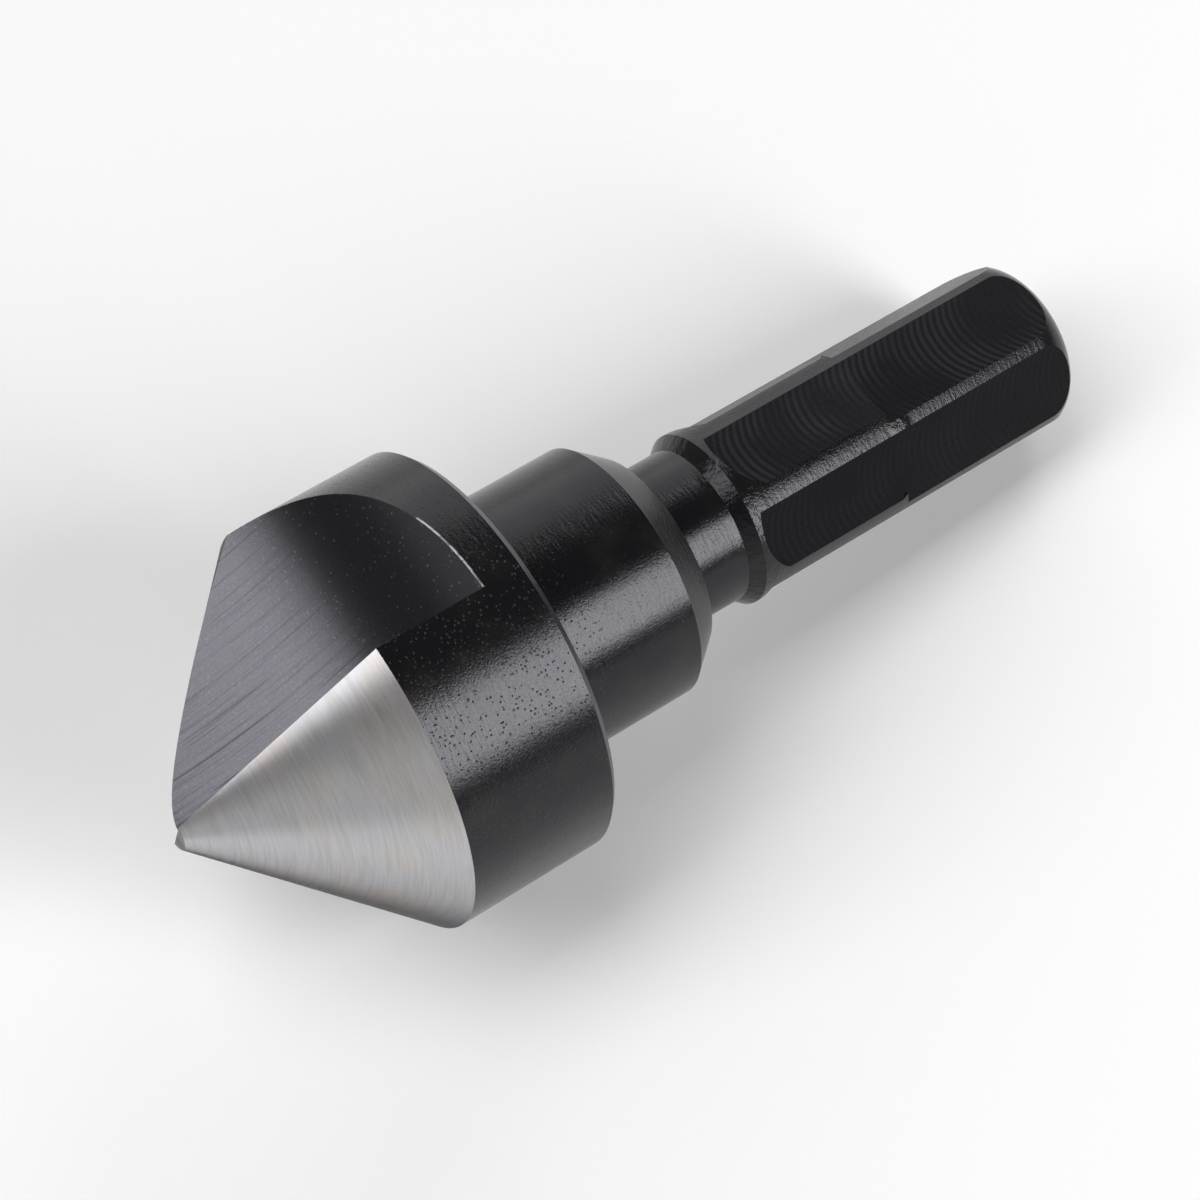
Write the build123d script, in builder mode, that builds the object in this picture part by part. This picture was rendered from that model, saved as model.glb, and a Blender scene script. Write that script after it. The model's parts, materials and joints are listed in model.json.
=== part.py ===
from build123d import *
from math import atan2, cos, degrees, radians, sin, sqrt, tan
import os

# Single-flute countersink bit with a hexagonal shank, turned and milled from one bar
# of tool steel. Millimetres, +Z up.
#
# The bit lies as it comes to rest on a bench: on the rear rim of its head and on the
# rear end of its shank, tip towards -X, so its axis dips towards the shank.
# Lengths along the bit are stations, measured from the cone's sharp point.
# Clock angles are measured about the axis, from straight up towards +Y.

# ---- driving dimensions -----------------------------------------------------------
HEAD_D = 16.0            # largest countersink that the bit cuts
CONE_ANGLE = 90.0        # included angle of the cutting cone
TIP_FLAT_D = 1.7         # blunt end of the point
RELIEF = 0.08            # the cone is ground this far off centre, to back off the land
HEAD_LAND = 6.1          # cylindrical part of the head
HEAD_CHAMFER = 0.25

COLLAR_D = 10.1
COLLAR_LENGTH = 7.2
COLLAR_CHAMFER_LENGTH = 1.3
COLLAR_CHAMFER_DEPTH = 1.05

NECK_D = 6.2
NECK_LENGTH = 2.4
SHOULDER_LENGTH = 0.5    # cone from the neck up to the shank's bar

BAR_D = 7.0              # round bar that the hexagon is milled on
HEX_AF = 6.35            # across flats, a quarter of an inch
SHANK_LENGTH = 15.5
END_ROUND = 1.6          # rounded rear end

# The flats are milled in two halves, from the front and from the rear, and the bit
# was clamped anew in between.
HALVES_STEP = 0.08       # the rear half is this much deeper
HALVES_TWIST = 3.0       # clock angle from the rear half to the front half
HALVES_OVERLAP = 0.7
REAR_HALF_LENGTH = 8.85
FLAT_FRONT = 0.7         # the front half starts this far behind the neck
FRONT_MILL_D = 4.6       # end mill of the front half
FRONT_MILL_SIDE = 0.45   # its path runs this far beside the flat's middle
REAR_MILL_D = 12.0       # end mill of the rear half
REAR_MILL_SIDE = -0.5

FLUTE_CUTTER_D = 28.6    # side-and-face cutter that plunges once to make the flute
FLUTE_DEPTH = 1.5        # lowest point of the floor, below the axis
FLUTE_STATION = -1.2     # station of the cutter's centre
RAKE_OFFSET = 0.3        # the cutting face stands this far past the axis
FLUTE_FROM_FLAT = -6.5   # clock angle from the upper flat to the floor's normal

UPPER_FLAT_CLOCK = 0.0   # roll of the bit at rest

# ---- derived sizes ----------------------------------------------------------------
HEAD_R = HEAD_D / 2
BAR_R = BAR_D / 2
FRONT_FLAT_R = (HEX_AF + HALVES_STEP) / 2
REAR_FLAT_R = (HEX_AF - HALVES_STEP) / 2
CONE_HALF = radians(CONE_ANGLE / 2)
CONE_LENGTH = HEAD_R / tan(CONE_HALF)
TIP_AT = TIP_FLAT_D / 2 / tan(CONE_HALF)

HEAD_REAR = CONE_LENGTH + HEAD_LAND
COLLAR_REAR = HEAD_REAR + COLLAR_LENGTH
NECK_REAR = COLLAR_REAR + NECK_LENGTH
SHANK_FRONT = NECK_REAR + SHOULDER_LENGTH
SHANK_REAR = SHANK_FRONT + SHANK_LENGTH

FRONT_HALF_START = NECK_REAR + FLAT_FRONT
REAR_HALF_START = SHANK_REAR - REAR_HALF_LENGTH
FRONT_HALF_END = REAR_HALF_START + HALVES_OVERLAP

# The two points that the bit rests on, as (station, radius).
RIM = (HEAD_REAR - HEAD_CHAMFER, HEAD_R)
HEEL_RISE = REAR_FLAT_R - (BAR_R - END_ROUND)
HEEL = (SHANK_REAR - END_ROUND + sqrt(END_ROUND**2 - HEEL_RISE**2), REAR_FLAT_R)

DIP = atan2(RIM[1] - HEEL[1], HEEL[0] - RIM[0])
POINT_HEIGHT = RIM[0] * sin(DIP) + RIM[1] * cos(DIP)

# Foremost and rearmost points along X, which the origin lies midway between.
TIP_LOW = sqrt((TIP_FLAT_D / 2) ** 2 - RAKE_OFFSET**2) - RELIEF
FRONT_X = TIP_AT * cos(DIP) - TIP_LOW * sin(DIP)
REAR_X = (SHANK_REAR - END_ROUND) * cos(DIP) + (BAR_R - END_ROUND) * sin(DIP) + END_ROUND
MIDDLE = (FRONT_X + REAR_X) / 2

# ---- planes -----------------------------------------------------------------------
POINT = Vector(-MIDDLE, 0, POINT_HEIGHT)
AXIS_DIR = Vector(cos(DIP), 0, -sin(DIP))
UP_DIR = Vector(sin(DIP), 0, cos(DIP))
BIT_AXIS = Axis(POINT, AXIS_DIR)
PROFILE_PLANE = Plane(origin=POINT, x_dir=AXIS_DIR, z_dir=(0, -1, 0))


def clock_dir(angle):
    """Direction square to the axis at a clock angle, in degrees."""
    return UP_DIR * cos(radians(angle)) + Vector(0, 1, 0) * sin(radians(angle))


def flat_plane(clock, height):
    """Plane of a flat at a height above the axis, its x direction along the bit."""
    normal = clock_dir(clock)
    return Plane(origin=POINT + normal * height, x_dir=AXIS_DIR, z_dir=normal)


FLOOR_CLOCK = UPPER_FLAT_CLOCK + FLUTE_FROM_FLAT
RAKE_DIR = clock_dir(FLOOR_CLOCK + 90)
FLUTE_PLANE = Plane(
    origin=POINT - RAKE_DIR * RAKE_OFFSET, x_dir=AXIS_DIR, z_dir=-RAKE_DIR
)

with BuildPart() as countersink_bit:
    # Turned blank: head, collar, neck and the bar that the shank is milled from.
    with BuildSketch(PROFILE_PLANE):
        with BuildLine():
            Polyline(
                (TIP_AT, 0),
                (TIP_AT, HEAD_R),
                (HEAD_REAR - HEAD_CHAMFER, HEAD_R),
                (HEAD_REAR, HEAD_R - HEAD_CHAMFER),
                (HEAD_REAR, COLLAR_D / 2),
                (COLLAR_REAR - COLLAR_CHAMFER_LENGTH, COLLAR_D / 2),
                (COLLAR_REAR, COLLAR_D / 2 - COLLAR_CHAMFER_DEPTH),
                (COLLAR_REAR, NECK_D / 2),
                (NECK_REAR, NECK_D / 2),
                (SHANK_FRONT, BAR_R),
                (SHANK_REAR - END_ROUND, BAR_R),
            )
            RadiusArc(
                (SHANK_REAR - END_ROUND, BAR_R),
                (SHANK_REAR, BAR_R - END_ROUND),
                END_ROUND,
            )
            Polyline((SHANK_REAR, BAR_R - END_ROUND), (SHANK_REAR, 0), (TIP_AT, 0))
        make_face()
    revolve(axis=BIT_AXIS)

    # Cutting cone, ground about a centre line that is shifted towards the cutting edge.
    grind_shift = clock_dir(FLOOR_CLOCK) * RELIEF
    grind_plane = Plane(
        origin=POINT + grind_shift, x_dir=AXIS_DIR, z_dir=(0, -1, 0)
    )
    with BuildSketch(grind_plane):
        with BuildLine():
            reach = HEAD_D
            Polyline(
                (0, 0),
                (reach / tan(CONE_HALF), reach),
                (-HEAD_R, reach),
                (-HEAD_R, 0),
                close=True,
            )
        make_face()
    revolve(axis=Axis(POINT + grind_shift, AXIS_DIR), mode=Mode.SUBTRACT)

    # Flute: one plunge of a disc cutter. Its side leaves the flat cutting face, and
    # its edge leaves the hollow floor that runs out through the head's land.
    with BuildSketch(FLUTE_PLANE) as flute:
        floor_dir = FLUTE_PLANE.to_local_coords(POINT + clock_dir(FLOOR_CLOCK)).Y
        lift = (FLUTE_CUTTER_D / 2 - FLUTE_DEPTH) * (1 if floor_dir > 0 else -1)
        with Locations((FLUTE_STATION, lift)):
            Circle(FLUTE_CUTTER_D / 2)
    extrude(amount=-HEAD_D, mode=Mode.SUBTRACT)

    # Front half of the hexagon. The mill's round ends shape the front of each flat.
    for number in range(6):
        clock = UPPER_FLAT_CLOCK + HALVES_TWIST + 60 * number
        with BuildSketch(flat_plane(clock, FRONT_FLAT_R)):
            with Locations(((FRONT_HALF_START + FRONT_HALF_END) / 2, FRONT_MILL_SIDE)):
                SlotOverall(FRONT_HALF_END - FRONT_HALF_START, FRONT_MILL_D)
        extrude(amount=BAR_R, mode=Mode.SUBTRACT)

    # Rear half, open to the rear. It leaves a nick on the corners where the halves meet.
    for number in range(6):
        clock = UPPER_FLAT_CLOCK + 60 * number
        run_out = SHANK_REAR + REAR_MILL_D
        with BuildSketch(flat_plane(clock, REAR_FLAT_R)):
            with Locations(((REAR_HALF_START + run_out) / 2, REAR_MILL_SIDE)):
                SlotOverall(run_out - REAR_HALF_START, REAR_MILL_D)
        extrude(amount=BAR_R, mode=Mode.SUBTRACT)

countersink_bit.part.label = "countersink_bit"

os.makedirs("parts", exist_ok=True)
export_step(countersink_bit.part, "parts/countersink_bit.step")

print("axis dip, degrees:", round(degrees(DIP), 3))
print("bounding box:", countersink_bit.part.bounding_box())
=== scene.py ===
"""Dresses the countersink bit: worn corners, machined finishes, a pale floor and soft light."""

from __future__ import annotations

import json
import logging
import math
from dataclasses import dataclass, field
from enum import Enum
from typing import Any

import bpy
from mathutils import Matrix, Vector

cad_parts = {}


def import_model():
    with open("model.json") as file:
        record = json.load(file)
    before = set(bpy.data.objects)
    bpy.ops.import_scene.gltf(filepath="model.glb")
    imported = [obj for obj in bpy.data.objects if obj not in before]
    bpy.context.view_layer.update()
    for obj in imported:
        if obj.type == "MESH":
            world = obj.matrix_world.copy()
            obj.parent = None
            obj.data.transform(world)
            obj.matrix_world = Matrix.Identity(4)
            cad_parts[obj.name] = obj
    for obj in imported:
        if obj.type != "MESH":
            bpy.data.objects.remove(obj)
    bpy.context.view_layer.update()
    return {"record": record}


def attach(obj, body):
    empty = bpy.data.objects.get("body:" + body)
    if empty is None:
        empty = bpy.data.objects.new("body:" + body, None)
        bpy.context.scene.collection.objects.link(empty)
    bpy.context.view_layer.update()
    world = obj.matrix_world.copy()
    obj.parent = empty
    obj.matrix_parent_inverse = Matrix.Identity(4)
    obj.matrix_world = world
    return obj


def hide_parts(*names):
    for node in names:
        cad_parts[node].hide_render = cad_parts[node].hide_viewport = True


LOG = logging.getLogger("countersink_bit")

MM = 0.001
RING_SEGMENTS = 288
MILL_SEGMENTS = 96
END_STEPS = 24
MERGE_DISTANCE = 0.01
CLOSE = 0.01


# ---- small tools ------------------------------------------------------------------


def linear(hex_colour: str) -> tuple[float, float, float, float]:
    """Turns an sRGB hex colour into linear red, green, blue and alpha.

    Args:
        hex_colour: Six hex digits, with or without a leading #.

    Returns:
        The linear colour, with an alpha of 1.
    """
    digits = hex_colour.lstrip("#")
    channels = [int(digits[i : i + 2], 16) / 255 for i in (0, 2, 4)]
    curve = [c / 12.92 if c <= 0.04045 else ((c + 0.055) / 1.055) ** 2.4 for c in channels]
    return (curve[0], curve[1], curve[2], 1.0)


def add_node(
    tree: bpy.types.NodeTree,
    kind: str,
    settings: dict[str, Any] | None = None,
    inputs: dict[str | int, Any] | tuple[Any, ...] = (),
) -> bpy.types.Node:
    """Adds a node with its settings and links.

    Args:
        tree: The node tree that gets the node.
        kind: The node's type, such as "ShaderNodeMath".
        settings: Properties of the node and their values.
        inputs: What each input gets, a value or the socket that feeds it: by the input's
            name or number, or in the inputs' order.

    Returns:
        The new node.
    """
    node = tree.nodes.new(kind)
    for name, value in (settings or {}).items():
        setattr(node, name, value)
    for name, value in inputs.items() if isinstance(inputs, dict) else enumerate(inputs):
        if isinstance(value, bpy.types.NodeSocket):
            tree.links.new(value, node.inputs[name])
        else:
            node.inputs[name].default_value = value
    return node


def deselect_all() -> None:
    """Leaves no object selected, so that an operator acts on the next one alone."""
    bpy.ops.object.select_all(action="DESELECT")


def make_active(piece: bpy.types.Object) -> None:
    """Selects one object alone and makes it the active one."""
    deselect_all()
    piece.select_set(True)
    bpy.context.view_layer.objects.active = piece


# ---- where the bit lies -----------------------------------------------------------


@dataclass(frozen=True)
class BitFrame:
    """The bit's own axes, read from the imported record.

    Lengths along the bit are stations in millimetres from the cone's sharp point. In the
    bit's own axes x is to the side, y is up through the upper flat and z is the station.
    """

    length: float
    end: Vector
    axis: Vector
    up: Vector

    @classmethod
    def from_record(cls, record: dict[str, Any], length: float) -> "BitFrame":
        """Finds the axes from the mounts on the shank's end and on its upper flat.

        Args:
            record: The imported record.
            length: Station of the shank's end, in millimetres.

        Returns:
            The bit's frame.
        """
        mounts = {mount["name"]: mount for mount in record["mounts"]}
        return cls(
            length=length,
            end=Vector(mounts["shank_end"]["pos_m"]),
            axis=Vector(mounts["shank_end"]["axis"]).normalized(),
            up=Vector(mounts["drive_flat_1"]["axis"]).normalized(),
        )

    @property
    def point(self) -> Vector:
        """The cone's sharp point, in metres."""
        return self.end - self.axis * self.length * MM

    @property
    def side(self) -> Vector:
        """Square to the axis and to the upper flat's normal, on the flute's side."""
        return self.up.cross(self.axis)

    @property
    def matrix(self) -> Matrix:
        """From the bit's own axes, in millimetres, to the row frame in metres."""
        turn = Matrix((self.side, self.up, self.axis)).transposed()
        return Matrix.Translation(self.point) @ turn.to_4x4() @ Matrix.Scale(MM, 4)

    def place(self, side: float, up: float, station: float) -> Vector:
        """Turns a place in the bit's own axes into one in the row frame."""
        return self.matrix @ Vector((side, up, station))

    def direction(self, side: float, up: float, station: float) -> Vector:
        """Turns a direction in the bit's own axes into one in the row frame."""
        return (self.matrix.to_3x3() @ Vector((side, up, station))).normalized()


def clock_direction(angle: float) -> Vector:
    """Direction square to the bit's axis, at a clock angle in degrees from its upper flat."""
    return Vector((math.sin(math.radians(angle)), math.cos(math.radians(angle)), 0.0))


# ---- modelling by operators -------------------------------------------------------


def add_cylinder(radius: float, front: float, rear: float, segments: int) -> bpy.types.Object:
    """Adds a cylinder that stands on the bit's axis.

    Args:
        radius: Its radius in millimetres.
        front: Station of its front face.
        rear: Station of its rear face.
        segments: How many sides it has.

    Returns:
        The cylinder.
    """
    deselect_all()
    bpy.ops.mesh.primitive_cylinder_add(
        vertices=segments, radius=radius, depth=rear - front, location=(0, 0, (front + rear) / 2)
    )
    piece = bpy.context.active_object
    bpy.ops.object.transform_apply(location=True, rotation=False, scale=False)
    return piece


def select_end_face(piece: bpy.types.Object, station: float) -> None:
    """Selects the flat end face at a station, in edit mode.

    Args:
        piece: The object that is in edit mode.
        station: Where the face is.
    """
    bpy.ops.mesh.select_mode(type="FACE")
    bpy.ops.mesh.select_all(action="DESELECT")
    bpy.ops.object.mode_set(mode="OBJECT")
    for polygon in piece.data.polygons:
        flat = abs(polygon.normal.z) > 0.99
        polygon.select = flat and abs(polygon.center.z - station) < 1e-4
    bpy.ops.object.mode_set(mode="EDIT")


def extrude_rings(piece: bpy.types.Object, rings: list[tuple[float, float]]) -> None:
    """Extrudes the rear face through a run of rings, as a turned profile.

    Args:
        piece: A solid of revolution about the bit's axis.
        rings: Station and radius of each ring. The first is the face that is there already.
    """
    make_active(piece)
    bpy.ops.object.mode_set(mode="EDIT")
    select_end_face(piece, rings[0][0])
    for (station, radius), (next_station, next_radius) in zip(rings, rings[1:]):
        move = {"value": (0, 0, next_station - station)}
        bpy.ops.mesh.extrude_region_move(TRANSFORM_OT_translate=move)
        ratio = next_radius / radius
        bpy.ops.transform.resize(value=(ratio, ratio, 1), center_override=(0, 0, next_station))
    bpy.ops.object.mode_set(mode="OBJECT")


class Cut(Enum):
    """What a tool leaves of the piece it meets."""

    REMOVE = "DIFFERENCE"
    KEEP = "INTERSECT"


def cut(piece: bpy.types.Object, tool: bpy.types.Object, how: Cut) -> None:
    """Cuts a piece with a solid tool, and takes the tool away.

    Args:
        piece: The piece that is cut.
        tool: The solid that cuts it.
        how: Whether the part inside the tool goes or stays.
    """
    make_active(piece)
    boolean = piece.modifiers.new("cut", "BOOLEAN")
    boolean.operation = how.value
    boolean.solver = "EXACT"
    boolean.object = tool
    bpy.ops.object.modifier_apply(modifier=boolean.name)
    bpy.data.objects.remove(tool, do_unlink=True)


# ---- the bit ----------------------------------------------------------------------


class Surface(Enum):
    """The finished surfaces of the bit, numbered as its material slots."""

    TURNED = 0
    GROUND = 1
    FLUTE_FLOOR = 2
    FLAT = 3
    EDGE = 4


@dataclass(frozen=True)
class HexPass:
    """One pass of the end mill over the six flats, in millimetres and degrees."""

    twist: float
    start: float
    end: float
    mill_radius: float
    mill_side: float
    height: float


@dataclass
class CountersinkBit:
    """The whole bit, turned and milled from one bar. Sizes are in millimetres."""

    head_radius: float = 8.0
    cone_half_angle: float = 45.0
    tip_station: float = 0.85
    relief: float = 0.08
    head_rear: float = 14.1
    head_chamfer: float = 0.25
    collar_radius: float = 5.05
    collar_rear: float = 21.3
    collar_chamfer_length: float = 1.3
    collar_chamfer_depth: float = 1.05
    neck_radius: float = 3.1
    neck_rear: float = 23.7
    shank_front: float = 24.2
    bar_radius: float = 3.5
    length: float = 39.7
    end_round: float = 1.6
    front_flats: HexPass = HexPass(3.0, 24.4, 31.55, 2.3, 0.45, 3.215)
    rear_flats: HexPass = HexPass(0.0, 30.85, 60.0, 6.0, -0.5, 3.135)
    flute_radius: float = 14.3
    flute_depth: float = 1.5
    flute_station: float = -1.2
    rake_offset: float = 0.3
    floor_clock: float = -6.5
    corner: float = 0.045
    corner_segments: int = 2
    corner_from: float = 32.0
    smooth_below: float = 6.0
    piece: bpy.types.Object = field(init=False)

    def turn_blank(self) -> bpy.types.Object:
        """Turns the head, collar, neck and bar.

        Returns:
            The blank, with a flat front end in place of the cone.
        """
        blank = add_cylinder(
            self.head_radius, self.tip_station, self.head_rear - self.head_chamfer, RING_SEGMENTS
        )
        chamfer_front = self.collar_rear - self.collar_chamfer_length
        chamfer_radius = self.collar_radius - self.collar_chamfer_depth
        rings = [
            (self.head_rear - self.head_chamfer, self.head_radius),
            (self.head_rear, self.head_radius - self.head_chamfer),
            (self.head_rear, self.collar_radius),
            (chamfer_front, self.collar_radius),
            (self.collar_rear, chamfer_radius),
            (self.collar_rear, self.neck_radius),
            (self.neck_rear, self.neck_radius),
            (self.shank_front, self.bar_radius),
        ]
        for step in range(END_STEPS + 1):
            angle = math.radians(90 * step / END_STEPS)
            rings.append(
                (
                    self.length - self.end_round * (1 - math.sin(angle)),
                    self.bar_radius - self.end_round * (1 - math.cos(angle)),
                )
            )
        extrude_rings(blank, rings)
        return blank

    def grind_cone(self) -> None:
        """Grinds the cutting cone about a line beside the axis, which backs off its land."""
        shift = clock_direction(self.floor_clock) * self.relief
        depth = self.length * 1.5
        deselect_all()
        bpy.ops.mesh.primitive_cone_add(
            vertices=RING_SEGMENTS,
            radius1=0,
            radius2=depth * math.tan(math.radians(self.cone_half_angle)),
            depth=depth,
            location=(shift.x, shift.y, depth / 2),
        )
        cut(self.piece, bpy.context.active_object, Cut.KEEP)

    def mill_flute(self) -> None:
        """Plunges a disc cutter: its side leaves the cutting face, its rim the flute's floor."""
        rake = clock_direction(self.floor_clock + 90)
        floor = clock_direction(self.floor_clock)
        width = self.head_radius * 2
        centre = rake * (width / 2 - self.rake_offset)
        centre += floor * (self.flute_radius - self.flute_depth)
        centre.z = self.flute_station
        deselect_all()
        bpy.ops.mesh.primitive_cylinder_add(
            vertices=RING_SEGMENTS * 2, radius=self.flute_radius, depth=width
        )
        cutter = bpy.context.active_object
        turn = Matrix((floor, Vector((0, 0, 1)), rake)).transposed().to_4x4()
        cutter.matrix_world = Matrix.Translation(centre) @ turn
        cut(self.piece, cutter, Cut.REMOVE)

    def mill_flat(self, clock: float, flats: HexPass) -> None:
        """Mills one flat with a round end mill.

        Args:
            clock: Clock angle of the flat's normal.
            flats: The pass that the flat belongs to.
        """
        normal = clock_direction(clock)
        across = clock_direction(clock + 90)
        depth = self.bar_radius
        centre = normal * (flats.height + depth / 2) + across * flats.mill_side
        centre.z = flats.start + flats.mill_radius
        deselect_all()
        bpy.ops.mesh.primitive_cylinder_add(
            vertices=MILL_SEGMENTS, radius=flats.mill_radius, depth=depth
        )
        mill = bpy.context.active_object
        bpy.ops.object.mode_set(mode="EDIT")
        bpy.ops.mesh.select_mode(type="VERT")
        bpy.ops.mesh.select_all(action="DESELECT")
        bpy.ops.object.mode_set(mode="OBJECT")
        for vertex in mill.data.vertices:
            vertex.select = vertex.co.x > 1e-6
        bpy.ops.object.mode_set(mode="EDIT")
        bpy.ops.transform.translate(value=(flats.end - flats.start - 2 * flats.mill_radius, 0, 0))
        bpy.ops.object.mode_set(mode="OBJECT")
        turn = Matrix((Vector((0, 0, 1)), across, normal)).transposed().to_4x4()
        mill.matrix_world = Matrix.Translation(centre) @ turn
        cut(self.piece, mill, Cut.REMOVE)

    def mill_hexagon(self) -> None:
        """Mills the six flats in two passes, which leaves a small step half way."""
        for flats in (self.front_flats, self.rear_flats):
            for number in range(6):
                self.mill_flat(60 * number + flats.twist, flats)

    def surface_of(self, centre: Vector, normal: Vector) -> Surface:
        """Says which tool made a face.

        Args:
            centre: The face's centre, in the bit's own axes.
            normal: Its normal.

        Returns:
            The surface that the face belongs to.
        """
        floor = clock_direction(self.floor_clock)
        rake = clock_direction(self.floor_clock + 90)
        height = centre.dot(floor) - (self.flute_radius - self.flute_depth)
        reach = math.hypot(height, centre.z - self.flute_station)
        if centre.z < self.head_rear:
            off_floor = abs(reach - self.flute_radius)
            if abs(normal.dot(rake)) < 2 * CLOSE and off_floor < 2 * CLOSE:
                return Surface.FLUTE_FLOOR
            off_face = abs(centre.dot(rake) + self.rake_offset)
            if abs(normal.dot(rake)) > 1 - CLOSE and off_face < CLOSE:
                return Surface.GROUND
            cone = math.sin(math.radians(self.cone_half_angle))
            if normal.z < CLOSE - 1 or abs(normal.z + cone) < CLOSE:
                return Surface.GROUND
            if abs(normal.z - cone) < CLOSE:
                return Surface.EDGE
            return Surface.TURNED
        if centre.z > self.front_flats.start and abs(normal.z) < CLOSE:
            for flats in (self.front_flats, self.rear_flats):
                if abs(centre.dot(normal) - flats.height) < CLOSE:
                    return Surface.FLAT
        return Surface.TURNED

    def build(self, frame: BitFrame) -> bpy.types.Object:
        """Builds the bit and lays it where the CAD has it.

        Args:
            frame: The bit's own axes.

        Returns:
            The finished piece.
        """
        self.piece = self.turn_blank()
        self.grind_cone()
        self.mill_flute()
        self.mill_hexagon()
        make_active(self.piece)
        bpy.ops.object.mode_set(mode="EDIT")
        bpy.ops.mesh.select_all(action="SELECT")
        bpy.ops.mesh.remove_doubles(threshold=MERGE_DISTANCE)
        bpy.ops.mesh.normals_make_consistent(inside=False)
        bpy.ops.object.mode_set(mode="OBJECT")
        mesh = self.piece.data
        mesh.materials.clear()
        for _ in Surface:
            mesh.materials.append(None)
        for polygon in mesh.polygons:
            polygon.material_index = self.surface_of(polygon.center, polygon.normal).value
        bevel = self.piece.modifiers.new("corners", "BEVEL")
        bevel.width = self.corner
        bevel.segments = self.corner_segments
        bevel.limit_method = "ANGLE"
        bevel.angle_limit = math.radians(self.corner_from)
        bevel.material = Surface.EDGE.value
        bevel.use_clamp_overlap = True
        bpy.ops.object.modifier_apply(modifier=bevel.name)
        self.piece.matrix_world = frame.matrix
        bpy.ops.object.transform_apply(location=True, rotation=True, scale=True)
        bpy.ops.object.shade_smooth_by_angle(angle=math.radians(self.smooth_below))
        self.piece.name = "machined_bit"
        return self.piece


# ---- finishes ---------------------------------------------------------------------

# Lengths, depths and stations are in millimetres, and a scale says how many times a pattern
# repeats in a millimetre. A pair says where a fade starts and where it ends.

MATH = "ShaderNodeMath"
VECTOR_MATH = "ShaderNodeVectorMath"
JOIN = "ShaderNodeCombineXYZ"
NOISE = "ShaderNodeTexNoise"
CELLS = "ShaderNodeTexVoronoi"
BUMP = "ShaderNodeBump"
MIX = "ShaderNodeMix"
RAMP = "ShaderNodeMapRange"
SMOOTH = {"interpolation_type": "SMOOTHSTEP"}
COLOURS = {"data_type": "RGBA"}
GRAINY = {"Detail": 3.0, "Roughness": 0.6}
GRAIN_SPAN = (0.3, 0.7)


@dataclass(frozen=True)
class Finish:
    """A material in the making: its node tree, and sockets that say where a point lies.

    The sockets give the point in the bit's own axes, in millimetres, its radius from the
    bit's axis, and its clock angle from the upper flat in radians.
    """

    material: bpy.types.Material
    tree: bpy.types.NodeTree
    shader: bpy.types.Node
    place: bpy.types.NodeSocket
    station: bpy.types.NodeSocket
    radius: bpy.types.NodeSocket
    clock: bpy.types.NodeSocket

    @classmethod
    def start(cls, name: str, frame: BitFrame) -> "Finish":
        """Starts a material with its shader and the bit's own coordinates.

        Args:
            name: The material's name.
            frame: The bit's own axes.

        Returns:
            The material in the making.
        """
        material = bpy.data.materials.new(name)
        material.use_nodes = True
        tree = material.node_tree
        tree.nodes.clear()
        where = add_node(tree, "ShaderNodeTexCoord")
        mapping = add_node(
            tree,
            "ShaderNodeMapping",
            {"vector_type": "TEXTURE"},
            {
                "Vector": where.outputs["Object"],
                "Location": frame.point,
                "Rotation": frame.matrix.to_3x3().normalized().to_euler(),
                "Scale": (MM, MM, MM),
            },
        )
        parts = add_node(tree, "ShaderNodeSeparateXYZ", None, (mapping.outputs[0],))
        flat = add_node(tree, JOIN, None, (parts.outputs[0], parts.outputs[1]))
        radius = add_node(tree, VECTOR_MATH, {"operation": "LENGTH"}, (flat.outputs[0],))
        clock = add_node(tree, MATH, {"operation": "ARCTAN2"}, (parts.outputs[0], parts.outputs[1]))
        shader = add_node(tree, "ShaderNodeBsdfPrincipled")
        add_node(tree, "ShaderNodeOutputMaterial", None, {"Surface": shader.outputs["BSDF"]})
        return cls(
            material,
            tree,
            shader,
            mapping.outputs[0],
            parts.outputs[2],
            radius.outputs["Value"],
            clock.outputs[0],
        )

    def add(
        self,
        kind: str,
        settings: dict[str, Any] | None = None,
        inputs: dict[str | int, Any] | tuple[Any, ...] = (),
    ) -> bpy.types.Node:
        """Adds a node to this material's tree."""
        return add_node(self.tree, kind, settings, inputs)

    def around(self, pitch: float, length: float) -> bpy.types.NodeSocket:
        """Coordinates for marks that run round the bit, one unit to a mark.

        Args:
            pitch: Spacing of the marks along the bit, in millimetres.
            length: Length of a mark round the bit, in millimetres.

        Returns:
            The coordinates: around, nothing, along.
        """
        arc = self.add(MATH, {"operation": "MULTIPLY"}, (self.clock, self.radius))
        bend = self.add(MATH, {"operation": "DIVIDE"}, (arc.outputs[0], length))
        along = self.add(MATH, {"operation": "DIVIDE"}, (self.station, pitch))
        joined = self.add(JOIN, None, {0: bend.outputs[0], 2: along.outputs[0]})
        return joined.outputs[0]

    def feed(self, inputs: dict[str | int, Any]) -> None:
        """Sets or links inputs of the shader."""
        for name, value in inputs.items():
            if isinstance(value, bpy.types.NodeSocket):
                self.tree.links.new(value, self.shader.inputs[name])
            else:
                self.shader.inputs[name].default_value = value


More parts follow.
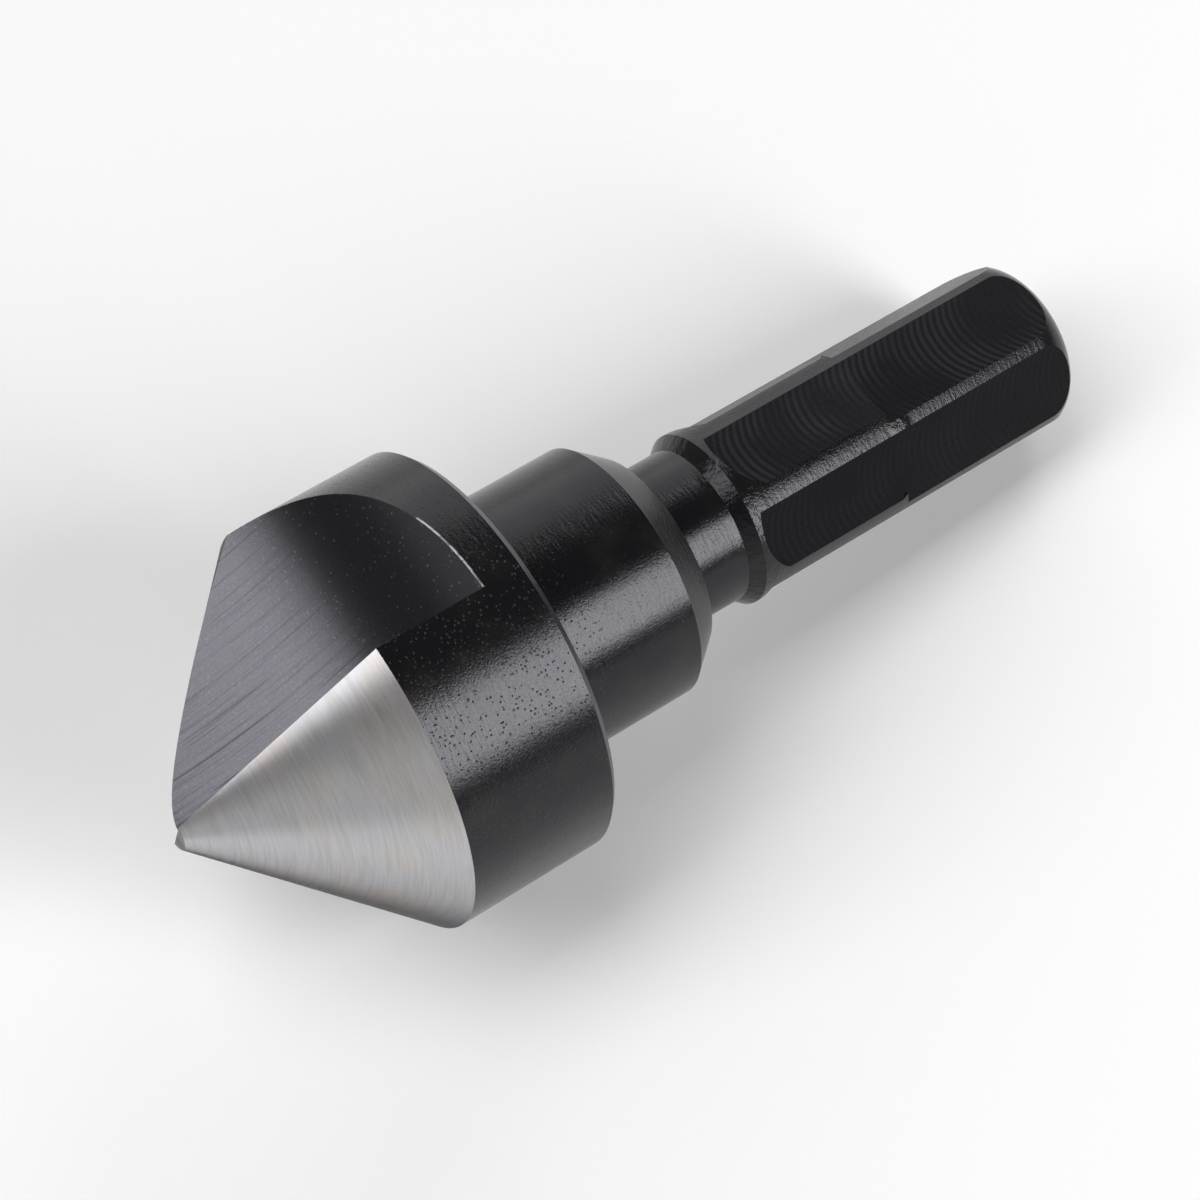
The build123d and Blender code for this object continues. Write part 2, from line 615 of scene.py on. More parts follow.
@dataclass(frozen=True)
class BlackOxide:
    """Turned tool steel, blackened in hot salts and oiled.

    The eye sees near black where the room is dark and a soft bluish sheen along a light,
    broken up by fine turning rings, by grain and by small pits in the oxide. The grain of
    the oxide is far finer than 0.08 mm, and is drawn as coarse as it needs to show.
    """

    name: str = "black_oxide"
    colour: str = "#131315"
    worn_colour: str = "#1f1d1b"
    worn_scale: float = 0.6
    worn_share: tuple[float, float] = (0.45, 0.75)
    sheen_tint: tuple[float, float, float, float] = (0.93, 0.92, 1.0, 1.0)
    ior: float = 1.38
    roughness: tuple[float, float] = (0.13, 0.22)
    ring_pitch: float = 0.12
    ring_length: float = 0.8
    ring_depth: float = 0.0075
    grain: float = 0.08
    grain_depth: float = 0.007
    pit_spacing: float = 0.13
    pit_radius: float = 0.048
    pit_depth: float = 0.022
    pit_share: float = 0.8
    pit_wall: float = 0.25
    pitted_to: tuple[float, float] = (14.0, 17.0)
    pitted_rear: float = 0.12
    burr_size: float = 0.3125
    burr_depth: float = 0.035
    torn_from: tuple[float, float] = (23.3, 23.9)
    torn_to: tuple[float, float] = (24.6, 25.4)
    strip_burrs: float = 0.3
    strip_burrs_to: tuple[float, float] = (30.6, 31.0)
    nick: tuple[float, float, float] = (-30.0, 3.45, 31.2)
    nick_radii: tuple[float, float] = (0.165, 0.55)
    nick_height: float = 1.8
    # light grey of the run-out line: rubbed-through oxide and a painted highlight of the edge
    rubbed_and_highlight_colour: str = "#b4b4b9"
    rubbed_width: float = 0.09
    rubbed_to: tuple[float, float] = (3.1, 3.3)
    rubbed_scale: float = 3.6
    rubbed_share: tuple[float, float] = (0.36, 0.56)
    rubbed_thin: float = 0.3
    rubbed_corner: float = 0.05

    def pits(self, finish: Finish) -> bpy.types.NodeSocket:
        """Round pits, scattered over a share of the cells of a lattice.

        Args:
            finish: The material in the making.

        Returns:
            Height of the surface, 1 away from the pits and 0 at their bottom.
        """
        cells = finish.add(
            CELLS,
            {"feature": "F1"},
            {"Vector": finish.place, "Scale": 1 / self.pit_spacing, "Randomness": 1.0},
        )
        chance = finish.add("ShaderNodeSeparateColor", None, (cells.outputs["Color"],))
        widest = self.pit_radius / self.pit_spacing
        size = finish.add(
            RAMP, SMOOTH, (chance.outputs[0], 1 - self.pit_share, 1.0, 0.0, widest)
        ).outputs[0]
        inside = finish.add(MATH, {"operation": "SUBTRACT"}, (cells.outputs["Distance"], size))
        pits = finish.add(
            RAMP, SMOOTH, (inside.outputs[0], -self.pit_wall, 0.0, 1.0, 0.0)
        ).outputs[0]
        amount = finish.add(
            RAMP, SMOOTH, (finish.station, *self.pitted_to, 1.0, self.pitted_rear)
        ).outputs[0]
        deep = finish.add(MATH, {"operation": "MULTIPLY"}, (pits, amount))
        return finish.add(MATH, {"operation": "SUBTRACT"}, (1.0, deep.outputs[0])).outputs[0]

    def burrs(self, finish: Finish) -> bpy.types.NodeSocket:
        """Torn metal at the shoulder, less of it along the front of the shank, and one nick.

        Args:
            finish: The material in the making.

        Returns:
            Height of the torn metal, as a share of the burrs' depth.
        """
        tears = finish.add(
            NOISE, None, {"Vector": finish.place, "Scale": 1 / self.burr_size, **GRAINY}
        ).outputs[0]
        torn = finish.add(RAMP, SMOOTH, (finish.station, *self.torn_from)).outputs[0]
        healed = finish.add(
            RAMP, SMOOTH, (finish.station, *self.torn_to, 1.0, self.strip_burrs)
        ).outputs[0]
        clean = finish.add(
            RAMP, SMOOTH, (finish.station, *self.strip_burrs_to, 1.0, 0.0)
        ).outputs[0]
        clock, radius, station = self.nick
        spot = clock_direction(clock) * radius
        spot.z = station
        away = finish.add(VECTOR_MATH, {"operation": "DISTANCE"}, (finish.place, spot))
        nick = finish.add(
            RAMP, SMOOTH, (away.outputs["Value"], *self.nick_radii, self.nick_height, 0.0)
        ).outputs[0]
        share = finish.add(MATH, {"operation": "MULTIPLY"}, (torn, healed))
        share = finish.add(MATH, {"operation": "MULTIPLY_ADD"}, (share.outputs[0], clean, nick))
        return finish.add(MATH, {"operation": "MULTIPLY"}, (tears, share.outputs[0])).outputs[0]

    def rubbed(self, finish: Finish, bit: CountersinkBit) -> bpy.types.NodeSocket:
        """The light line along the flute's run-out, where the oxide on the head is rubbed through.
        Its light grey is also a painted highlight of that edge.

        Args:
            finish: The material in the making.
            bit: The bit, for its flute.

        Returns:
            1 on the line and 0 away from it.
        """
        floor = clock_direction(bit.floor_clock)
        rake = clock_direction(bit.floor_clock + 90)
        height = finish.add(VECTOR_MATH, {"operation": "DOT_PRODUCT"}, (finish.place, floor))
        width = finish.add(VECTOR_MATH, {"operation": "DOT_PRODUCT"}, (finish.place, rake))
        above = finish.add(
            MATH,
            {"operation": "SUBTRACT"},
            (height.outputs["Value"], bit.flute_radius - bit.flute_depth),
        )
        ahead = finish.add(MATH, {"operation": "SUBTRACT"}, (finish.station, bit.flute_station))
        offset = finish.add(JOIN, None, (above.outputs[0], ahead.outputs[0]))
        reach = finish.add(VECTOR_MATH, {"operation": "LENGTH"}, (offset.outputs[0],))
        edge = bit.flute_radius + self.rubbed_width
        core = bit.flute_radius + self.rubbed_width / 2
        line = finish.add(
            RAMP, SMOOTH, (reach.outputs["Value"], core, edge, 1.0, 0.0)
        ).outputs[0]
        face = -bit.rake_offset
        inside = finish.add(
            RAMP, SMOOTH, (width.outputs["Value"], face, face + self.rubbed_corner)
        ).outputs[0]
        short = finish.add(
            RAMP, SMOOTH, (width.outputs["Value"], *self.rubbed_to, 1.0, 0.0)
        ).outputs[0]
        patches = finish.add(
            NOISE, None, {"Vector": finish.place, "Scale": self.rubbed_scale, "Detail": 3.0}
        ).outputs[0]
        patches = finish.add(
            RAMP, SMOOTH, (patches, *self.rubbed_share, self.rubbed_thin, 1.0)
        ).outputs[0]
        for factor in (inside, short, patches):
            line = finish.add(MATH, {"operation": "MULTIPLY"}, (line, factor)).outputs[0]
        return line

    def make(self, frame: BitFrame, bit: CountersinkBit) -> bpy.types.Material:
        """Makes the material.

        Args:
            frame: The bit's own axes.
            bit: The bit, for its flute.

        Returns:
            The material.
        """
        finish = Finish.start(self.name, frame)
        patches = finish.add(
            NOISE, None, {"Vector": finish.place, "Scale": self.worn_scale, "Detail": 3.0}
        ).outputs[0]
        worn = finish.add(RAMP, SMOOTH, (patches, *self.worn_share)).outputs[0]
        colour = finish.add(
            MIX, COLOURS, {"Factor": worn, 6: linear(self.colour), 7: linear(self.worn_colour)}
        ).outputs[2]
        # the run-out line: rubbed-through oxide, painted light grey, which also paints the edge's
        # highlight
        colour = finish.add(
            MIX,
            COLOURS,
            {"Factor": self.rubbed(finish, bit), 6: colour, 7: linear(self.rubbed_and_highlight_colour)},
        ).outputs[2]
        grain = finish.add(
            NOISE, None, {"Vector": finish.place, "Scale": 1 / self.grain, **GRAINY}
        ).outputs[0]
        rough = finish.add(RAMP, SMOOTH, (grain, *GRAIN_SPAN, *self.roughness)).outputs[0]
        around = finish.around(self.ring_pitch, self.ring_length)
        rings = finish.add(NOISE, None, {"Vector": around, "Scale": 1.0, "Detail": 2.0}).outputs[0]
        normal = finish.add(
            BUMP, None, {"Height": self.burrs(finish), "Distance": self.burr_depth * MM}
        ).outputs[0]
        normal = finish.add(
            BUMP, None, {"Height": rings, "Distance": self.ring_depth * MM, "Normal": normal}
        ).outputs[0]
        normal = finish.add(
            BUMP, None, {"Height": grain, "Distance": self.grain_depth * MM, "Normal": normal}
        ).outputs[0]
        normal = finish.add(
            BUMP,
            None,
            {"Height": self.pits(finish), "Distance": self.pit_depth * MM, "Normal": normal},
        ).outputs[0]
        finish.feed(
            {
                "Base Color": colour,
                "Roughness": rough,
                "IOR": self.ior,
                "Specular Tint": self.sheen_tint,
                "Normal": normal,
            }
        )
        return finish.material


@dataclass(frozen=True)
class MilledOxide:
    """The milled flats of the hexagon, blackened like the rest.

    The end mill leaves arcs across each flat, one for each tooth's feed, that curve
    forward toward the tip. Their crests are painted a lighter, bluish colour as a painted
    sheen, and the arcs are drawn strongest on the upper flat, where the light shows them.
    """

    name: str = "milled_black_oxide"
    colour: str = "#0b0b0d"
    # lighter, bluish colour of the arcs' crests: a painted sheen
    ridge_sheen_colour: str = "#1f1f24"
    sheen_tint: tuple[float, float, float, float] = (0.93, 0.92, 1.0, 1.0)
    ior: float = 1.38
    gloss: float = 0.15
    roughness: tuple[float, float] = (0.22, 0.35)
    feed_pitch: float = 0.31
    arc_radius: float = 2.5
    feed_depth: float = 0.0025
    side_share: float = 0.3
    side_from: float = 0.6
    waver: float = 0.12
    waver_scale: float = 0.9
    patch_scale: float = 0.45
    patch_share: tuple[float, float] = (0.35, 0.65)
    patch_least: float = 0.1
    grain: float = 0.09
    grain_depth: float = 0.002

    def make(self, frame: BitFrame) -> bpy.types.Material:
        """Makes the material.

        Args:
            frame: The bit's own axes.

        Returns:
            The material.
        """
        finish = Finish.start(self.name, frame)
        sixth = math.radians(60)
        turned = finish.add(MATH, {"operation": "ADD"}, (finish.clock, sixth / 2))
        nearest = finish.add(MATH, {"operation": "SNAP"}, (turned.outputs[0], sixth))
        off = finish.add(MATH, {"operation": "SUBTRACT"}, (finish.clock, nearest.outputs[0]))
        sine = finish.add(MATH, {"operation": "SINE"}, (off.outputs[0],))
        across = finish.add(MATH, {"operation": "MULTIPLY"}, (sine.outputs[0], finish.radius))
        squared = finish.add(MATH, {"operation": "POWER"}, (across.outputs[0], 2.0))
        reach = self.arc_radius**2
        drop = finish.add(MATH, {"operation": "SUBTRACT"}, (reach, squared.outputs[0]))
        root = finish.add(MATH, {"operation": "SQRT"}, (drop.outputs[0],))
        along = finish.add(MATH, {"operation": "ADD"}, (finish.station, root.outputs[0]))
        waver = finish.add(
            NOISE, None, {"Vector": finish.place, "Scale": self.waver_scale, "Detail": 2.0}
        ).outputs[0]
        shifted = finish.add(
            MATH, {"operation": "MULTIPLY_ADD"}, (waver, self.waver, along.outputs[0])
        )
        phase = finish.add(
            MATH, {"operation": "MULTIPLY"}, (shifted.outputs[0], 2 * math.pi / self.feed_pitch)
        )
        wave = finish.add(MATH, {"operation": "SINE"}, (phase.outputs[0],))
        height = finish.add(RAMP, SMOOTH, (wave.outputs[0], -1.0, 1.0)).outputs[0]
        patches = finish.add(
            NOISE, None, {"Vector": finish.place, "Scale": self.patch_scale, "Detail": 1.0}
        ).outputs[0]
        patches = finish.add(
            RAMP, SMOOTH, (patches, *self.patch_share, self.patch_least, 1.0)
        ).outputs[0]
        aside = finish.add(MATH, {"operation": "ABSOLUTE"}, (finish.clock,))
        # painted light: the arcs and their painted sheen fade on the flats away from the upper one,
        # where the light shows them less
        upper = finish.add(
            RAMP,
            SMOOTH,
            (aside.outputs[0], sixth / 2, self.side_from * sixth, 1.0, self.side_share),
        ).outputs[0]
        strength = finish.add(MATH, {"operation": "MULTIPLY"}, (patches, upper))
        arcs = finish.add(MATH, {"operation": "MULTIPLY"}, (height, strength.outputs[0]))
        grain = finish.add(
            NOISE, None, {"Vector": finish.place, "Scale": 1 / self.grain, **GRAINY}
        ).outputs[0]
        normal = finish.add(
            BUMP, None, {"Height": arcs.outputs[0], "Distance": self.feed_depth * MM}
        ).outputs[0]
        normal = finish.add(
            BUMP, None, {"Height": grain, "Distance": self.grain_depth * MM, "Normal": normal}
        ).outputs[0]
        # the crests of the feed marks take a painted sheen colour
        ridge_sheen = linear(self.ridge_sheen_colour)
        colour = finish.add(
            MIX, COLOURS, {"Factor": arcs.outputs[0], 6: linear(self.colour), 7: ridge_sheen}
        ).outputs[2]
        rough = finish.add(RAMP, SMOOTH, (grain, *GRAIN_SPAN, *self.roughness)).outputs[0]
        finish.feed(
            {
                "Base Color": colour,
                "Roughness": rough,
                "IOR": self.ior,
                "Specular IOR Level": self.gloss,
                "Specular Tint": self.sheen_tint,
                "Normal": normal,
            }
        )
        return finish.material


@dataclass(frozen=True)
class FluteFloor:
    """The milled floor of the flute under a thin, bluish oxide.

    The side of the steel still shows through as a cool grey, with fine straight lines
    that the cutter's rim leaves along the bit. Toward the run-out its colour turns darker.
    """

    name: str = "milled_flute_oxide"
    colour: str = "#58575c"
    line_colour: str = "#47464b"
    # darker colour of the grooves, and of the floor toward the run-out
    dark_floor_colour: str = "#38383c"
    darkens_over: tuple[float, float] = (7.0, 10.5)
    roughness: tuple[float, float] = (0.27, 0.34)
    anisotropy: float = 0.5
    line_pitch: float = 0.075
    line_length: float = 6.0
    line_depth: float = 0.0016
    line_share: tuple[float, float] = (0.3, 0.5)
    groove_pitch: float = 0.21
    groove_length: float = 9.0
    groove_share: tuple[float, float] = (0.62, 0.7)
    groove_side: tuple[float, float] = (1.0, 5.0)
    groove_strength: tuple[float, float] = (0.8, 0.15)
    speck_spacing: float = 0.17
    speck_radius: float = 0.055
    speck_share: float = 0.7
    speck_edge: float = 0.12
    speck_colour: str = "#5d5d60"
    grain: float = 0.07
    grain_depth: float = 0.0011

    def specks(self, finish: Finish) -> bpy.types.NodeSocket:
        """Small spots that are lighter than the oxide around them.

        Args:
            finish: The material in the making.

        Returns:
            1 in a spot and 0 elsewhere.
        """
        cells = finish.add(
            CELLS,
            {"feature": "F1"},
            {"Vector": finish.place, "Scale": 1 / self.speck_spacing, "Randomness": 1.0},
        )
        chance = finish.add("ShaderNodeSeparateColor", None, (cells.outputs["Color"],))
        widest = self.speck_radius / self.speck_spacing
        size = finish.add(
            RAMP, SMOOTH, (chance.outputs[0], 1 - self.speck_share, 1.0, 0.0, widest)
        ).outputs[0]
        inside = finish.add(MATH, {"operation": "SUBTRACT"}, (cells.outputs["Distance"], size))
        spots = finish.add(
            RAMP, SMOOTH, (inside.outputs[0], -self.speck_edge, 0.0, 1.0, 0.0)
        )
        return spots.outputs[0]

    def make(self, frame: BitFrame, bit: CountersinkBit) -> bpy.types.Material:
        """Makes the material.

        Args:
            frame: The bit's own axes.
            bit: The bit, for the clock angle of its flute.

        Returns:
            The material.
        """
        finish = Finish.start(self.name, frame)
        rake = clock_direction(bit.floor_clock + 90)
        width = finish.add(VECTOR_MATH, {"operation": "DOT_PRODUCT"}, (finish.place, rake))
        lane = finish.add(MATH, {"operation": "DIVIDE"}, (width.outputs["Value"], self.line_pitch))
        run = finish.add(MATH, {"operation": "DIVIDE"}, (finish.station, self.line_length))
        lanes = finish.add(JOIN, None, {0: lane.outputs[0], 2: run.outputs[0]})
        lines = finish.add(
            NOISE,
            None,
            {"Vector": lanes.outputs[0], "Scale": 1.0, "Detail": 3.0, "Roughness": 0.65},
        ).outputs[0]
        grain = finish.add(
            NOISE, None, {"Vector": finish.place, "Scale": 1 / self.grain, **GRAINY}
        ).outputs[0]
        normal = finish.add(
            BUMP, None, {"Height": lines, "Distance": self.line_depth * MM}
        ).outputs[0]
        normal = finish.add(
            BUMP, None, {"Height": grain, "Distance": self.grain_depth * MM, "Normal": normal}
        ).outputs[0]
        between = finish.add(RAMP, SMOOTH, (lines, *self.line_share)).outputs[0]
        line_colour = linear(self.line_colour)
        thin = finish.add(
            MIX, COLOURS, {"Factor": between, 6: line_colour, 7: linear(self.colour)}
        ).outputs[2]
        lane = finish.add(
            MATH, {"operation": "DIVIDE"}, (width.outputs["Value"], self.groove_pitch)
        )
        run = finish.add(MATH, {"operation": "DIVIDE"}, (finish.station, self.groove_length))
        lanes = finish.add(JOIN, None, {0: lane.outputs[0], 2: run.outputs[0]})
        grooves = finish.add(
            NOISE, None, {"Vector": lanes.outputs[0], "Scale": 1.0, "Detail": 1.0}
        ).outputs[0]
        grooves = finish.add(RAMP, SMOOTH, (grooves, *self.groove_share)).outputs[0]
        beside = finish.add(
            RAMP, SMOOTH, (width.outputs["Value"], *self.groove_side, *self.groove_strength)
        ).outputs[0]
        share = finish.add(MATH, {"operation": "MULTIPLY"}, (grooves, beside))
        dark_floor_colour, speck_colour = linear(self.dark_floor_colour), linear(self.speck_colour)
        thin = finish.add(
            MIX, COLOURS, {"Factor": share.outputs[0], 6: thin, 7: dark_floor_colour}
        ).outputs[2]
        dark_floor = finish.add(
            MIX, COLOURS, {"Factor": self.specks(finish), 6: dark_floor_colour, 7: speck_colour}
        ).outputs[2]
        # the floor's colour darkens toward the flute's run-out over these stations
        rear = finish.add(RAMP, SMOOTH, (finish.station, *self.darkens_over)).outputs[0]
        across = frame.matrix.to_3x3().normalized() @ rake
        tangent = finish.add(JOIN, None, tuple(across))
        colour = finish.add(MIX, COLOURS, {"Factor": rear, 6: thin, 7: dark_floor}).outputs[2]
        rough = finish.add(RAMP, SMOOTH, (grain, *GRAIN_SPAN, *self.roughness)).outputs[0]
        finish.feed(
            {
                "Base Color": colour,
                "Metallic": 1.0,
                "Roughness": rough,
                "Anisotropic": self.anisotropy,
                "Tangent": tangent.outputs[0],
                "Normal": normal,
            }
        )
        return finish.material


@dataclass(frozen=True)
class GroundSteel:
    """Bare tool steel, ground round the cone after the blackening.

    The wheel leaves fine streaks round the cone, so lights smear along its length and
    stay narrow around it. Faint warm and cool patches come from grinding heat. A 120 grit
    wheel's scratches lie about 0.02 mm apart, and are drawn as coarse as they need to show.
    They shade one another at a glancing angle, so the steel darkens toward its outline;
    the glancing tint darkens it there beyond that as painted shade, which stands in for
    the dark, shadowed floor that the cone's lower side reflects.
    """

    name: str = "ground_tool_steel"
    cool_colour: str = "#c4c4c8"
    warm_colour: str = "#c9c3c1"
    dull_colour: str = "#b8b7b7"
    heat_scale: float = 0.35
    heat_share: tuple[float, float] = (0.4, 0.62)
    roughness: tuple[float, float] = (0.3, 0.4)
    anisotropy: float = 0.75
    # darkens the steel at a glancing view: partly the scratches' own shading, partly painted shade
    glancing_shade_tint: tuple[float, float, float, float] = (0.15, 0.15, 0.15, 1.0)
    streak_pitch: float = 0.035
    streak_length: float = 1.1
    streak_depth: float = 0.00022
    coarse_pitch: float = 0.09
    coarse_length: float = 2.2
    streak_share: tuple[float, float] = (0.12, 0.34)

    def make(self, frame: BitFrame) -> bpy.types.Material:
        """Makes the material.

        Args:
            frame: The bit's own axes.

        Returns:
            The material.
        """
        finish = Finish.start(self.name, frame)
        around = finish.around(self.streak_pitch, self.streak_length)
        fine = finish.add(
            NOISE, None, {"Vector": around, "Scale": 1.0, "Detail": 2.0, "Roughness": 0.7}
        ).outputs[0]
        around = finish.around(self.coarse_pitch, self.coarse_length)
        coarse = finish.add(NOISE, None, {"Vector": around, "Scale": 1.0, "Detail": 2.0}).outputs[0]
        heat = finish.add(
            NOISE, None, {"Vector": finish.place, "Scale": self.heat_scale, "Detail": 1.0}
        ).outputs[0]
        heat = finish.add(RAMP, SMOOTH, (heat, *self.heat_share)).outputs[0]
        steel = finish.add(
            MIX, COLOURS, {"Factor": heat, 6: linear(self.cool_colour), 7: linear(self.warm_colour)}
        ).outputs[2]
        streaks = finish.add(MATH, {"operation": "MULTIPLY"}, (fine, coarse))
        clear = finish.add(RAMP, SMOOTH, (streaks.outputs[0], *self.streak_share)).outputs[0]
        colour = finish.add(
            MIX, COLOURS, {"Factor": clear, 6: linear(self.dull_colour), 7: steel}
        ).outputs[2]
        normal = finish.add(
            BUMP, None, {"Height": fine, "Distance": self.streak_depth * MM}
        ).outputs[0]
        where = finish.add("ShaderNodeNewGeometry")
        offset = finish.add(
            VECTOR_MATH, {"operation": "SUBTRACT"}, (where.outputs["Position"], frame.point)
        )
        circle = finish.add(
            VECTOR_MATH, {"operation": "CROSS_PRODUCT"}, (offset.outputs[0], frame.axis)
        )
        slope = finish.add(
            VECTOR_MATH,
            {"operation": "CROSS_PRODUCT"},
            (circle.outputs[0], where.outputs["Normal"]),
        )
        unit = finish.add(VECTOR_MATH, {"operation": "NORMALIZE"}, (slope.outputs[0],))
        rough = finish.add(RAMP, SMOOTH, (fine, *GRAIN_SPAN, *self.roughness)).outputs[0]
        finish.feed(
            {
                "Base Color": colour,
                "Metallic": 1.0,
                "Roughness": rough,
                "Specular Tint": self.glancing_shade_tint,
                "Anisotropic": self.anisotropy,
                "Tangent": unit.outputs[0],
                "Normal": normal,
            }
        )
        return finish.material


@dataclass(frozen=True)
class WornEdge:
    """The bit's corners, where handling has rubbed the oxide thin and in places off.

    The eye sees a fine grey line, and a bright one where the flute runs out.
    """

    name: str = "worn_edge_oxide"
    colour: str = "#4c4c51"
    bare_colour: str = "#d9d9db"
    roughness: float = 0.32
    run_out_front: tuple[float, float] = (9.6, 10.0)
    run_out_rear: tuple[float, float] = (12.6, 12.9)
    bare_from: tuple[float, float] = (-0.2, 0.1)
    bare_to: tuple[float, float] = (3.0, 3.4)
    patch_scale: float = 2.2
    patch_share: tuple[float, float] = (0.28, 0.42)

    def make(self, frame: BitFrame, bit: CountersinkBit) -> bpy.types.Material:
        """Makes the material.

        Args:
            frame: The bit's own axes.
            bit: The bit, for the clock angle of its flute.

        Returns:
            The material.
        """
        finish = Finish.start(self.name, frame)
        rake = clock_direction(bit.floor_clock + 90)
        width = finish.add(VECTOR_MATH, {"operation": "DOT_PRODUCT"}, (finish.place, rake))
        near = finish.add(RAMP, SMOOTH, (width.outputs["Value"], *self.bare_from)).outputs[0]
        far = finish.add(RAMP, SMOOTH, (width.outputs["Value"], *self.bare_to, 1.0, 0.0)).outputs[0]
        behind = finish.add(RAMP, SMOOTH, (finish.station, *self.run_out_front)).outputs[0]
        before = finish.add(
            RAMP, SMOOTH, (finish.station, *self.run_out_rear, 1.0, 0.0)
        ).outputs[0]
        patch = finish.add(
            NOISE, None, {"Vector": finish.place, "Scale": self.patch_scale, "Detail": 2.0}
        ).outputs[0]
        patch = finish.add(RAMP, SMOOTH, (patch, *self.patch_share)).outputs[0]
        bare = near
        for factor in (far, behind, before, patch):
            bare = finish.add(MATH, {"operation": "MULTIPLY"}, (bare, factor)).outputs[0]
        bare_colour = linear(self.bare_colour)
        colour = finish.add(
            MIX, COLOURS, {"Factor": bare, 6: linear(self.colour), 7: bare_colour}
        ).outputs[2]
        finish.feed({"Base Color": colour, "Metallic": 1.0, "Roughness": self.roughness})
        return finish.material


# ---- floor, light and camera ------------------------------------------------------


@dataclass(frozen=True)
class Floor:
    """A wide sheet of pale paper under the bit."""

    radius: float = 3.0
    segments: int = 64
    colour: str = "#f6f6f6"

    def build(self) -> bpy.types.Object:
        """Lays the floor.

        Returns:
            The floor.
        """
        deselect_all()
        bpy.ops.mesh.primitive_circle_add(
            vertices=self.segments, radius=self.radius, fill_type="NGON"
        )
        floor = bpy.context.active_object
        floor.name = "floor"
        material = bpy.data.materials.new("pale_paper")
        material.use_nodes = True
        tree = material.node_tree
        tree.nodes.clear()
        paper = add_node(tree, "ShaderNodeBsdfDiffuse", None, {"Color": linear(self.colour)})
        add_node(tree, "ShaderNodeOutputMaterial", None, {"Surface": paper.outputs[0]})
        floor.data.materials.append(material)
        return floor


@dataclass(frozen=True)
class Room:
    """The studio around the floor: pale walls, paler in front of the tip, under a dark ceiling."""

    ceiling: float = 0.03
    walls: tuple[float, float] = (0.25, 0.7)
    wall_top: tuple[float, float] = (0.38, 0.6)
    pale_side: tuple[float, float, float] = (-0.86, -0.51, 0.0)
    pale_reach: tuple[float, float] = (0.6, 0.95)

    def build(self) -> None:
        """Gives the scene its world."""
        world = bpy.data.worlds.new("studio")
        bpy.context.scene.world = world
        world.use_nodes = True
        tree = world.node_tree
        tree.nodes.clear()
        where = add_node(tree, "ShaderNodeTexCoord")
        parts = add_node(tree, "ShaderNodeSeparateXYZ", None, (where.outputs["Generated"],))
        facing = add_node(
            tree,
            VECTOR_MATH,
            {"operation": "DOT_PRODUCT"},
            (where.outputs["Generated"], self.pale_side),
        )
        wall = add_node(
            tree, RAMP, SMOOTH, (facing.outputs["Value"], *self.pale_reach, *self.walls)
        )
        strength = add_node(
            tree, RAMP, SMOOTH, (parts.outputs[2], *self.wall_top, wall.outputs[0], self.ceiling)
        )
        sky = add_node(tree, "ShaderNodeBackground", None, {"Strength": strength.outputs[0]})
        add_node(tree, "ShaderNodeOutputWorld", None, {"Surface": sky.outputs[0]})


@dataclass(frozen=True)
class SoftBox:
    """A rectangular studio light that faces the bit."""

    name: str
    direction: tuple[float, float, float]
    along: tuple[float, float, float]
    length: float
    width: float
    strength: float
    distance: float = 0.30

    def build(self, target: Vector) -> bpy.types.Object:
        """Hangs the light.

        Args:
            target: The place that it faces.

        Returns:
            The light.
        """
        data = bpy.data.lights.new(self.name, "AREA")
        data.shape = "RECTANGLE"
        data.size = self.length
        data.size_y = self.width
        data.energy = self.strength * math.pi * self.length * self.width
        light = bpy.data.objects.new(self.name, data)
        bpy.context.scene.collection.objects.link(light)
        z_axis = Vector(self.direction).normalized()
        y_axis = z_axis.cross(Vector(self.along)).normalized()
        x_axis = y_axis.cross(z_axis)
        turn = Matrix((x_axis, y_axis, z_axis)).transposed().to_4x4()
        light.matrix_world = Matrix.Translation(target + z_axis * self.distance) @ turn
        return light


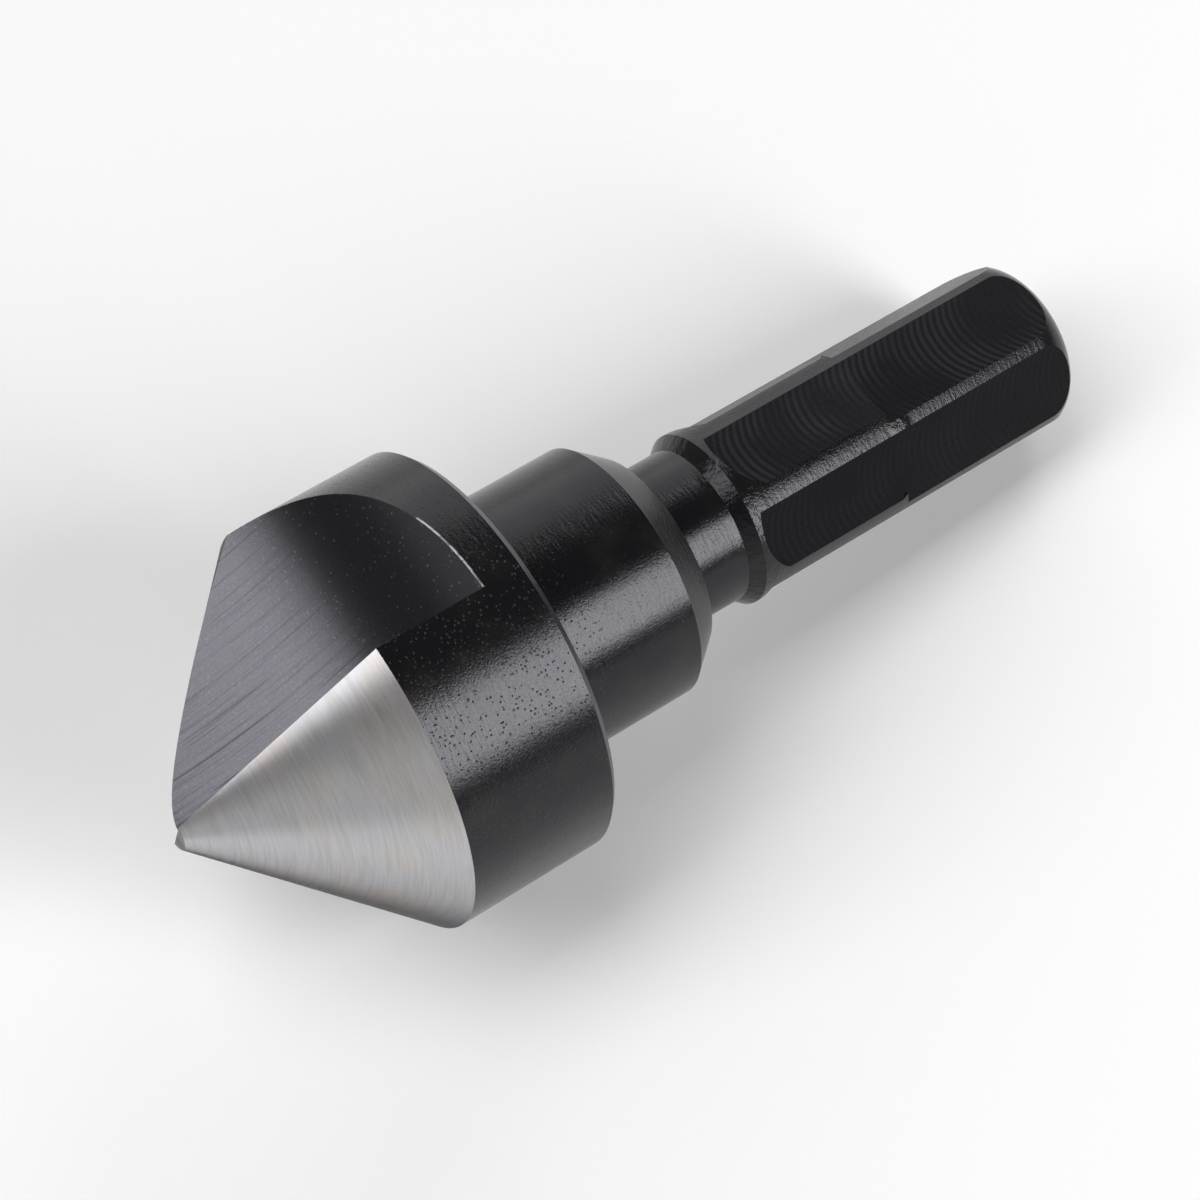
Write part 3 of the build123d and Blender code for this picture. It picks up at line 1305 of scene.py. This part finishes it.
@dataclass(frozen=True)
class Camera:
    """The camera, placed in the bit's own axes, in millimetres."""

    place: tuple[float, float, float]
    look: tuple[float, float, float]
    top: tuple[float, float, float]
    lens: float = 110.91
    sensor: float = 36.0

    def build(self, frame: BitFrame) -> bpy.types.Object:
        """Sets up the camera and makes it the scene's own.

        Args:
            frame: The bit's own axes.

        Returns:
            The camera.
        """
        data = bpy.data.cameras.new("camera")
        data.lens = self.lens
        data.sensor_width = self.sensor
        data.sensor_fit = "HORIZONTAL"
        data.clip_start = 0.001
        camera = bpy.data.objects.new("camera", data)
        bpy.context.scene.collection.objects.link(camera)
        z_axis = -frame.direction(*self.look)
        x_axis = frame.direction(*self.top).cross(z_axis).normalized()
        y_axis = z_axis.cross(x_axis)
        turn = Matrix((x_axis, y_axis, z_axis)).transposed().to_4x4()
        camera.matrix_world = Matrix.Translation(frame.place(*self.place)) @ turn
        bpy.context.scene.camera = camera
        return camera


def main() -> None:
    """Builds the bit, its finishes, the floor, the light and the camera."""
    logging.basicConfig(level=logging.INFO, format="%(name)s: %(message)s")
    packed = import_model()

    bit = CountersinkBit()
    frame = BitFrame.from_record(packed["record"], bit.length)
    piece = bit.build(frame)
    finishes = {
        Surface.TURNED: BlackOxide().make(frame, bit),
        Surface.GROUND: GroundSteel().make(frame),
        Surface.FLUTE_FLOOR: FluteFloor().make(frame, bit),
        Surface.FLAT: MilledOxide().make(frame),
        Surface.EDGE: WornEdge().make(frame, bit),
    }
    for surface, material in finishes.items():
        piece.data.materials[surface.value] = material
        count = sum(polygon.material_index == surface.value for polygon in piece.data.polygons)
        LOG.info("%s: %s on %d faces", piece.name, material.name, count)
    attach(piece, "root")
    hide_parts("countersink_bit")

    Floor().build()
    Room().build()
    middle = frame.place(0, 0, 16)
    upright = (0.0, 0.0, 1.0)
    for light in (
        SoftBox("side_softbox", (0.455, -0.735, 0.50), tuple(frame.axis), 0.10, 0.20, 10.6),
        SoftBox("top_softbox", (-0.42, 0.25, 0.87), (0.87, 0.0, 0.42), 0.39, 0.15, 3.6),
        SoftBox("rear_softbox", (0.72, 0.42, 0.55), upright, 0.10, 0.10, 2.8),
        SoftBox("far_softbox", (0.50, 0.80, 0.29), upright, 0.26, 0.28, 1.35),
    ):
        light.build(middle)
    Camera(
        place=(-45.909, 115.364, -31.549),
        look=(0.33862, -0.86234, 0.37643),
        top=(0.73596, 0.49201, 0.46507),
    ).build(frame)

    bpy.context.scene.view_settings.view_transform = "Standard"


if __name__ == "__main__":
    main()
